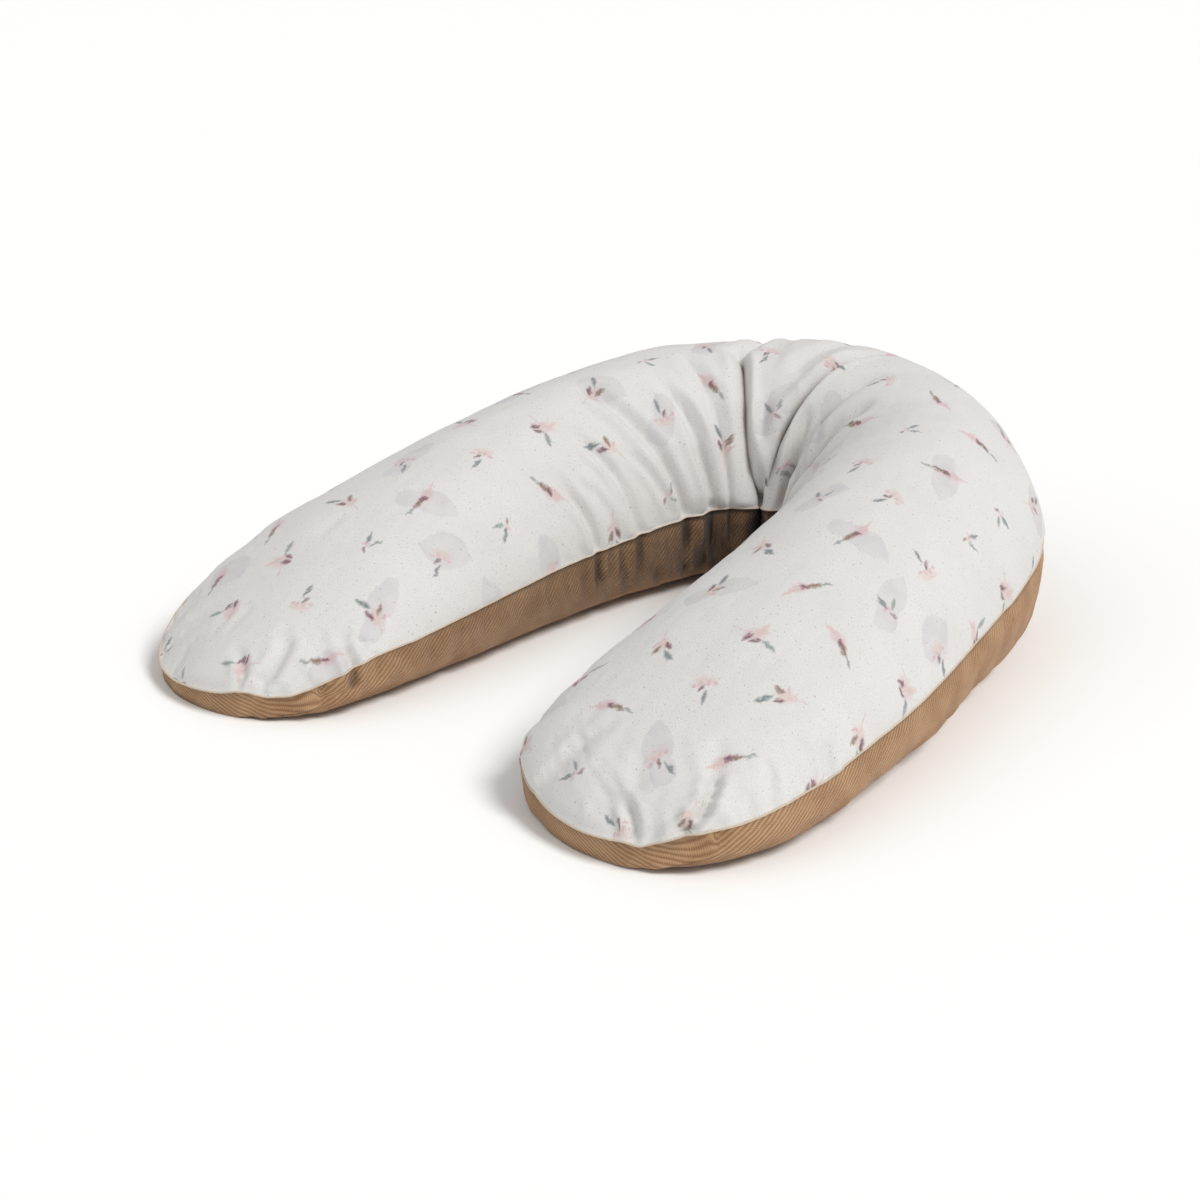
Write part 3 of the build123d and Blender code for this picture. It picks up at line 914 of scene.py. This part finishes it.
def sprig_cell(g, place):
    """Local x and y in the print's cell that a place falls in, turned at random, and three random values."""
    x, y, _ = g.split(place)
    row = g.math("FLOOR", g.math("DIVIDE", y, CELL_HEIGHT))
    moved = g.times_plus(g.math("FLOORED_MODULO", row, 2.0), CELL_WIDTH / 2, x)
    column = g.math("FLOOR", g.math("DIVIDE", moved, CELL_WIDTH))
    jitter_x, jitter_y, spin = g.split(g.random(g.join(column, row, SEED_PLACE)))
    x = g.minus(moved, g.times_plus(column, CELL_WIDTH, CELL_WIDTH / 2))
    y = g.minus(y, g.times_plus(row, CELL_HEIGHT, CELL_HEIGHT / 2))
    x = g.minus(x, g.times_plus(jitter_x, JITTER, -JITTER / 2))
    y = g.minus(y, g.times_plus(jitter_y, JITTER, -JITTER / 2))
    angle = g.times(spin, 2 * math.pi)
    c, s = g.math("COSINE", angle), g.math("SINE", angle)
    turned_x = g.plus(g.times(x, c), g.times(y, s))
    turned_y = g.minus(g.times(y, c), g.times(x, s))
    return turned_x, turned_y, g.split(g.random(g.join(row, column, SEED_PICK)))


def sprig_print(g, place, ground):
    """The watercolour print: a pale blotch behind some sprigs, the sprigs, and a fine speckle."""
    wobble = g.minus(g.noise(place, 0.2, 2.0), 0.5)
    wobbled = g.vector("ADD", place, g.join(g.times(wobble, 7.0), g.times(wobble, -6.0)))
    x, y, (pick, chance, _) = sprig_cell(g, wobbled)
    upper_lobe = stroke(g, x, y, (7, 10), (29, 14), 50, BLOTCH_EDGE)
    lower_lobe = stroke(g, x, y, (-6, -13), (15, 12), 20, BLOTCH_EDGE)
    long_blotch = g.math("MAXIMUM", upper_lobe, lower_lobe)
    long_blotch = g.times(long_blotch, g.math("LESS_THAN", chance, LONG_BLOTCH_BELOW))
    round_blotch = stroke(g, x, y, (2, 11), (28, 21), 10, BLOTCH_EDGE)
    round_blotch = g.times(round_blotch, g.math("GREATER_THAN", chance, ROUND_BLOTCH_ABOVE))
    uneven = g.ramp(g.noise(place, 0.05, 1.0), 0.3, 0.7, 0.4, 0.75)
    color = g.mix(g.times(g.math("MAXIMUM", long_blotch, round_blotch), uneven), ground, BLOTCH)
    x = g.math("DIVIDE", x, SPRIG_SCALE)
    y = g.math("DIVIDE", y, SPRIG_SCALE)
    mottle = g.ramp(g.noise(place, 0.5, 2.0), 0.2, 0.6, 0.6, 1.0)
    for number, sprig in enumerate(SPRIGS):
        low, high = number / len(SPRIGS), number / len(SPRIGS) + 1 / len(SPRIGS)
        here = g.times(g.math("GREATER_THAN", pick, low), g.math("LESS_THAN", pick, high))
        amount = g.times(mottle, here)
        for paint, strength, centre, size, degrees in sprig:
            mask = stroke(g, x, y, centre, size, degrees)
            color = g.mix(g.times(mask, g.times(amount, strength)), color, paint)
    dots = g.ramp(g.noise(place, 0.42, 1.0), 0.685, 0.74, 0.0, 0.6)
    return g.mix(dots, color, SPECK)


def jersey_material():
    g = Shader("printed_jersey")
    place = g.cloth()
    ground = g.mix(g.noise(place, 0.02, 3.0), rgb(211, 209, 206), rgb(221, 220, 218))
    fleck = g.noise(place, 0.75, 4.0, 0.75)
    ground = g.mix(g.ramp(fleck, 0.46, 0.68, 0.0, 0.55), ground, rgb(192, 187, 181))
    color = sprig_print(g, place, ground)
    # Painted shade: in folds, found by ambient occlusion, the print is mixed towards a grey brown.
    color = g.mix(g.painted_shade(0.03, 0.15, 0.7), g.mix(0.5, color, rgb(160, 148, 138)), color)
    x, y, _ = g.split(place)
    knit = g.times(g.wave(y, 1.1), g.wave(x, 1.3))
    height = g.times_plus(knit, 0.4, g.noise(place, 0.7, 3.0))
    return g.finish(color, g.ramp(fleck, 0.2, 0.8, 0.82, 0.94), g.bump(height, 0.0005, 0.55), sheen=0.12)


def rib_material():
    g = Shader("rib_knit")
    place = g.cloth()
    x, y, _ = g.split(place)
    drift = g.times(g.noise(place, 0.02, 1.0), 5.0)
    slanted = g.times_plus(y, RIB_SLANT, g.plus(x, drift))
    rib = g.wave(slanted, RIB_PITCH)
    stitch = g.wave(y, 1.9)
    tone = g.mix(g.ramp(g.noise(place, 0.03, 3.0), 0.3, 0.7), rgb(158, 118, 82), rgb(186, 148, 112))
    groove = g.math("POWER", g.minus(1.0, rib), 1.5)
    color = g.mix(g.times(groove, 0.6), tone, rgb(120, 82, 52))
    color = g.mix(g.times(g.times(rib, stitch), 0.35), color, rgb(218, 184, 146))
    color = g.mix(g.ramp(g.noise(place, 0.8, 2.0), 0.5, 0.75, 0.0, 0.3), color, rgb(206, 160, 112))
    # Painted shade: where the pillow's own arms hide the knit, above all in the inner bend, it darkens to a
    # near-black brown.
    color = g.mix(g.painted_shade(0.3, 0.6, 0.97, own=True), rgb(36, 25, 18), color)
    height = g.times_plus(stitch, 0.25, rib)
    return g.finish(color, 0.9, g.bump(height, 0.0010, 0.8), sheen=0.06)


def edge_material():
    g = Shader("seam_edge")
    place = g.solid()
    color = g.mix(g.noise(place, 0.5, 3.0), rgb(192, 174, 152), rgb(210, 196, 178))
    return g.finish(color, 0.9, g.bump(g.noise(place, 1.4, 2.0), 0.0004), sheen=0.1)


def ticking_material():
    g = Shader("ticking")
    x, y, _ = g.split(g.cloth())
    weave = g.times(g.wave(x, 0.9), g.wave(y, 0.9))
    stripe = g.ramp(g.wave(x, 14.0), 0.86, 0.92, 0.0, 0.5)
    color = g.mix(stripe, rgb(234, 229, 219), rgb(150, 160, 172))
    color = g.mix(g.times(weave, 0.2), color, rgb(214, 206, 192))
    return g.finish(color, 0.88, g.bump(weave, 0.0003, 0.7), sheen=0.05)


def fibre_material():
    g = Shader("hollow_fibre")
    place = g.solid()
    strands = g.noise(g.vector("MULTIPLY", place, (1.0, 0.25, 0.6)), 1.2, 5.0, 0.75)
    color = g.mix(g.ramp(strands, 0.35, 0.65), rgb(216, 218, 222), rgb(248, 249, 250))
    return g.finish(color, 0.95, g.bump(strands, 0.002, 0.9), sheen=0.3)


def tape_material():
    g = Shader("zip_tape")
    _, y, z = g.split(g.solid())
    weave = g.times(g.wave(g.plus(y, z), 0.7), g.wave(g.minus(y, z), 0.7))
    color = g.mix(weave, rgb(168, 120, 78), rgb(200, 154, 108))
    return g.finish(color, 0.85, g.bump(weave, 0.0003, 0.8), sheen=0.1)


def coil_material():
    g = Shader("zip_coil")
    spots = g.noise(g.solid(), 3.0, 2.0)
    color = g.mix(spots, rgb(176, 132, 92), rgb(196, 152, 110))
    return g.finish(color, g.ramp(spots, 0.3, 0.7, 0.3, 0.42), g.bump(spots, 0.00005, 0.4))


def metal_material():
    g = Shader("zip_metal")
    x, y, z = g.split(g.solid())
    stretched = g.join(g.times(x, 6.0), g.times(y, 0.6), g.times(z, 6.0))
    brushed = g.noise(stretched, 1.5, 3.0)
    color = g.mix(brushed, rgb(150, 140, 124), rgb(186, 176, 158))
    return g.finish(color, g.ramp(brushed, 0.3, 0.7, 0.26, 0.42), g.bump(brushed, 0.00006, 0.5), metallic=1.0)


def thread_material():
    g = Shader("sewing_thread")
    _, y, z = g.split(g.solid())
    twist = g.wave(g.plus(y, z), 0.5)
    color = g.mix(twist, rgb(196, 164, 126), rgb(228, 204, 170))
    return g.finish(color, 0.7, g.bump(twist, 0.0001, 0.8), sheen=0.2)


def label_material():
    g = Shader("label_tape")
    _, y, z = g.split(g.solid())
    weave = g.times(g.wave(z, 0.5), g.wave(y, 0.5))
    color = g.mix(g.noise(g.solid(), 0.3, 2.0), rgb(240, 238, 233), rgb(250, 249, 246))
    color = g.mix(g.times(weave, 0.15), color, rgb(210, 206, 198))
    return g.finish(color, 0.6, g.bump(weave, 0.00015, 0.8), sheen=0.15)


# ---------------------------------------------------------------- the pieces

def opened_at_zip(grid, side):
    """The panel drawn back from the zip, all the way at the seam and less and less away from it."""
    _, out, height = ZIP.places(grid)
    share = (1 - smooth(np.abs(height) / OPENING_EASE)) * (np.abs(out) < OPENING_REACH)
    shift = side * WINDOW_HALF * share * ZIP.window(grid, OPENING_END)
    return grid + shift[..., None] * ZIP.up


def stands_for(obj, slot, *nodes):
    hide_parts(*nodes)


def make_cover(materials):
    """Both panels of the cover, with the edge in their seam, the casing under them and the filling."""
    cover = Cover()
    co = simulated(cover, sculpted(cover))
    co[:, 2] = np.maximum(co[:, 2], FLOOR_CLEARANCE)
    normal = normals_of(co, cover.faces)
    made = {}
    for name, grid, flip, side, slot in (("top", cover.top, False, 1, "printed_jersey"),
                                         ("bottom", cover.bottom, True, -1, "rib_knit")):
        fine = refine(co[grid])
        fine_normal = unit(refine(normal[grid]))
        fine[..., 2] = np.maximum(fine[..., 2], FLOOR_CLEARANCE)
        q = refine(cover.q[grid][..., None])[..., 0]
        opened = opened_at_zip(fine, side)
        inner = opened - fine_normal * COVER_THICKNESS
        obj = shell("cover_" + name, opened, inner, flip, materials[slot])
        lay_cloth(obj, fine, q, along_arms=flip)
        stands_for(obj, slot, f"cover_{name}_left", f"cover_{name}_right")
        made[name] = obj
        make_casing(name, co[grid], normal[grid], cover.q[grid], flip, materials["ticking"])
        if not flip:
            make_edge(opened, q, materials["seam_edge"])
    make_fill(cover, co, normal, materials["hollow_fibre"])
    return made


def make_edge(grid, q, material):
    """The pale overlocked edge that shows along the seam."""
    loop, s = border_points(grid), border_points(q[..., None])[:, 0] * SPINE_HALF
    ups = np.tile([0.0, 0.0, 1.0], (len(loop), 1))
    co, faces = tube(loop, ups, EDGE_DEPTH, EDGE_HEIGHT, EDGE_SIDES, closed=True)
    obj = solid_object("seam_edge", (co, faces), material)
    flex(obj, np.repeat(s, EDGE_SIDES))
    stands_for(obj, "seam_edge", "seam_allowance_left", "seam_allowance_right")


def border_points(grid):
    rows, columns = grid.shape[:2]
    return grid.reshape(rows * columns, -1)[border(np.arange(rows * columns).reshape(rows, columns))]


def make_casing(name, grid, normal, q, flip, material):
    outer = grid - normal * gap_under_cover(grid, CASING_GAP)
    obj = shell("casing_" + name, outer, outer - normal * CASING_THICKNESS, flip, material)
    lay_cloth(obj, grid, q)
    stands_for(obj, "ticking", f"casing_{name}_left", f"casing_{name}_right")


def make_fill(cover, co, normal, material):
    """The loose filling, a little tufted, inside the casing."""
    tufts = lumps(co, np.random.default_rng(47), *TUFTS)
    inner = co - normal * (gap_under_cover(co, FILL_GAP) + np.abs(tufts)[:, None])
    obj = mesh_object("fill", inner, cover.faces.tolist(), material)
    flex(obj, cover.q * SPINE_HALF)
    stands_for(obj, "hollow_fibre", "fill_left", "fill_right")


def make_zip(materials, cover):
    """Both sides of the zip: a tape, a coil on its edge and the stitching that holds it to its panel."""
    start, end = -ZIP_ROOM + 0.001, ZIP.length + ZIP_ROOM - 0.001
    for name, side, panel in (("upper", 1, cover["top"]), ("lower", -1, cover["bottom"])):
        vertices = [vertex.co for vertex in panel.data.vertices]
        surface = BVHTree.FromPolygons(vertices, [face.vertices for face in panel.data.polygons])
        profile = [(depth, side * height) for depth, height in TAPE_PROFILE]
        for kind, slot, part in (("tape", "zip_tape", along_zip(profile, start, end)),
                                 ("coil", "zip_coil", coil_wire(side)),
                                 ("stitching", "sewing_thread", stitches(side, surface, start, end))):
            piece = f"zip_{kind}_{name}"
            obj = solid_object(piece, part, materials[slot], flat=kind == "tape")
            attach(obj, "left_arm")
            stands_for(obj, slot, piece)


def coil_wire(side):
    """One nylon coil: a fine wire wound along the zip, its turns a little taller than deep."""
    low, high = STOP_LENGTH + STOP_GAP, ZIP.length - STOP_LENGTH - STOP_GAP
    turns = int((high - low) / COIL_PITCH)
    angle = np.linspace(0, turns * 2 * math.pi, turns * 10 + 1)
    along = low + (high - low) * angle / angle[-1]
    radius = COIL_RADIUS - WIRE_RADIUS
    depth = COIL_DEPTH + radius * np.cos(angle)
    height = side * COIL_OFFSET + radius * np.sin(angle) * COIL_TALLER
    points = ZIP.point(along, depth, height)
    middle = ZIP.point(along, np.full_like(along, COIL_DEPTH), np.full_like(along, side * COIL_OFFSET))
    return tube(points, points - middle, WIRE_RADIUS, WIRE_RADIUS, 6)


def stitches(side, panel, start, end):
    """A row of short stitches lying on the panel beside the zip."""
    parts = []
    count = int((end - start) / STITCH_PITCH)
    rise = np.array([-0.6, 0.25, 0.55, 0.25, -0.6]) * THREAD_RADIUS * 1.6
    swelling = np.array([0.5, 0.95, 1.0, 0.95, 0.5]) * THREAD_RADIUS
    for number in range(count):
        middle = start + (number + 0.5) * STITCH_PITCH
        points = []
        for k in range(5):
            along = middle + STITCH_LENGTH * (k / 4 - 0.5)
            out = ZIP.out(along)
            origin = ZIP.point(along, np.array(RAY_START), np.array(side * STITCH_OFFSET))
            hit = panel.ray_cast(Vector(origin), Vector(-out), 2 * RAY_START)[0]
            surface = np.array(hit) if hit else origin - out * (RAY_START + 0.001)
            points.append(surface + out * rise[k])
        parts.append(tube(points, np.tile(ZIP.up, (5, 1)), swelling, swelling, 6))
    return joined(parts)


def make_label(material):
    """A blank woven tag, folded in half, with both its ends caught in the seam."""
    places = -LABEL_PLACE + np.array([0, -0.005, 0.005])
    place, ahead, behind = fold_point(places, np.zeros(3))
    along = unit(ahead - behind)
    out = unit(np.cross(along, (0, 0, 1)))
    up = np.cross(out, along)
    fall = np.linspace(0, 1, 15)
    front = [(0.0002, 0.0004)]
    front += [(0.0016 + 0.0022 * math.sin(math.pi * f) * f, -0.0006 - LABEL_DROP * f) for f in fall]
    back = [(depth - 0.0008, height) for depth, height in front[:0:-1]] + [(-0.0002, -0.0002)]
    turn = [(front[-1][0] - 0.0004, front[-1][1] - 0.0005)]
    path = np.array([(-0.0018, 0.0004)] + front + turn + back + [(-0.0018, -0.0001)])
    tangent = np.gradient(path, axis=0)
    side = unit(np.stack([tangent[:, 1], -tangent[:, 0]], -1))
    outline = np.concatenate([path + side * LABEL_SKIN, (path - side * LABEL_SKIN)[::-1]])
    across = np.linspace(-LABEL_WIDTH / 2, LABEL_WIDTH / 2, 13)
    curl = 0.0006 * np.cos(across / LABEL_WIDTH * 5)
    share = np.clip(-outline[:, 1] / LABEL_DROP, 0, 1)
    co = (place + along * across[:, None, None] + up * outline[None, :, 1, None]
          + out * (outline[None, :, 0] + curl[:, None] * share[None])[..., None])
    index = ring_index(*co.shape[:2])
    caps = []
    for row in (0, len(across) - 1):
        ring = index[row, :-1]
        strip = [[ring[k], ring[k + 1], ring[-k - 2], ring[-k - 1]] for k in range(len(path) - 1)]
        caps += strip if row == 0 else [face[::-1] for face in strip]
    obj = solid_object("care_label", (co.reshape(-1, 3), grid_faces(index).tolist() + caps), material)
    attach(obj, "left_arm")
    stands_for(obj, "label_tape", "care_label")


def finish_cad(material):
    """The metal pieces that carry over from the CAD model get their finish and softened edges."""
    for name in ("zip_slider", "zip_pull_tab", "zip_top_stops", "zip_bottom_stop"):
        node = frame["nodes"][name]
        node.data.materials.clear()
        node.data.materials.append(material)
        bevel = node.modifiers.new("edges", "BEVEL")
        bevel.width = 0.0002
        bevel.segments = 2
        bevel.angle_limit = math.radians(40)


# ---------------------------------------------------------------- floor, lights and camera

# How bright the sky is as a light. The camera sees it as white.
SKY_LIGHT = 0.44
FLOOR_HALF = 6.0
CAMERA_AZIMUTH = 41.04
CAMERA_ELEVATION = 22.27
CAMERA_DISTANCE = 2.5
CAMERA_TARGET = Vector((-0.1175, APEX_Y - 0.2369, 0))
CAMERA_LENS = 76.94


def face_from(obj, azimuth, elevation):
    """Turn an object to look at the pillow from a direction in degrees, and return that direction.

    Azimuth 0 is at -Y and 90 at +X."""
    a, e = math.radians(azimuth), math.radians(elevation)
    back = Vector((math.sin(a) * math.cos(e), -math.cos(a) * math.cos(e), math.sin(e)))
    obj.rotation_euler = (-back).to_track_quat("-Z", "Y").to_euler()
    bpy.context.scene.collection.objects.link(obj)
    return back


def sun(azimuth, elevation, strength, spread, color):
    """A far soft light."""
    data = bpy.data.lights.new("soft_light", "SUN")
    data.energy = strength
    data.color = color
    data.angle = math.radians(spread)
    face_from(bpy.data.objects.new("soft_light", data), azimuth, elevation)


def make_camera():
    data = bpy.data.cameras.new("camera")
    data.lens = CAMERA_LENS
    data.sensor_width = 36
    camera = bpy.data.objects.new("camera", data)
    back = face_from(camera, CAMERA_AZIMUTH, CAMERA_ELEVATION)
    camera.location = CAMERA_TARGET + back * CAMERA_DISTANCE
    bpy.context.scene.camera = camera


def make_stage():
    """A pale floor, a white sky that lights less than it shows, and two soft lights."""
    corners = [(x * FLOOR_HALF, y * FLOOR_HALF, 0) for x, y in ((-1, -1), (1, -1), (1, 1), (-1, 1))]
    floor = mesh_object("floor", corners, [(0, 1, 2, 3)])
    g = Shader("floor")
    floor.data.materials.append(g.finish(rgb(250, 250, 249), 0.9))
    world = bpy.data.worlds.new("world")
    world.use_nodes = True
    nodes, links = world.node_tree.nodes, world.node_tree.links
    brightness = nodes.new("ShaderNodeMapRange")
    brightness.inputs["To Min"].default_value = SKY_LIGHT
    brightness.inputs["To Max"].default_value = 1.0
    links.new(nodes.new("ShaderNodeLightPath").outputs["Is Camera Ray"], brightness.inputs["Value"])
    links.new(brightness.outputs[0], nodes["Background"].inputs["Strength"])
    nodes["Background"].inputs["Color"].default_value = (1, 1, 1, 1)
    bpy.context.scene.world = world
    bpy.context.scene.view_settings.view_transform = "Standard"
    sun(100, 50, 2.15, 24, (1, 0.995, 0.985))
    sun(-30, 40, 0.5, 60, (0.97, 0.985, 1))


MAKERS = dict(printed_jersey=jersey_material, rib_knit=rib_material, seam_edge=edge_material,
              ticking=ticking_material, hollow_fibre=fibre_material, zip_tape=tape_material,
              zip_coil=coil_material, zip_metal=metal_material, sewing_thread=thread_material,
              label_tape=label_material)


def main():
    materials = {slot: make() for slot, make in MAKERS.items()}
    cover = make_cover(materials)
    make_zip(materials, cover)
    make_label(materials["label_tape"])
    finish_cad(materials["zip_metal"])
    make_stage()
    make_camera()


main()
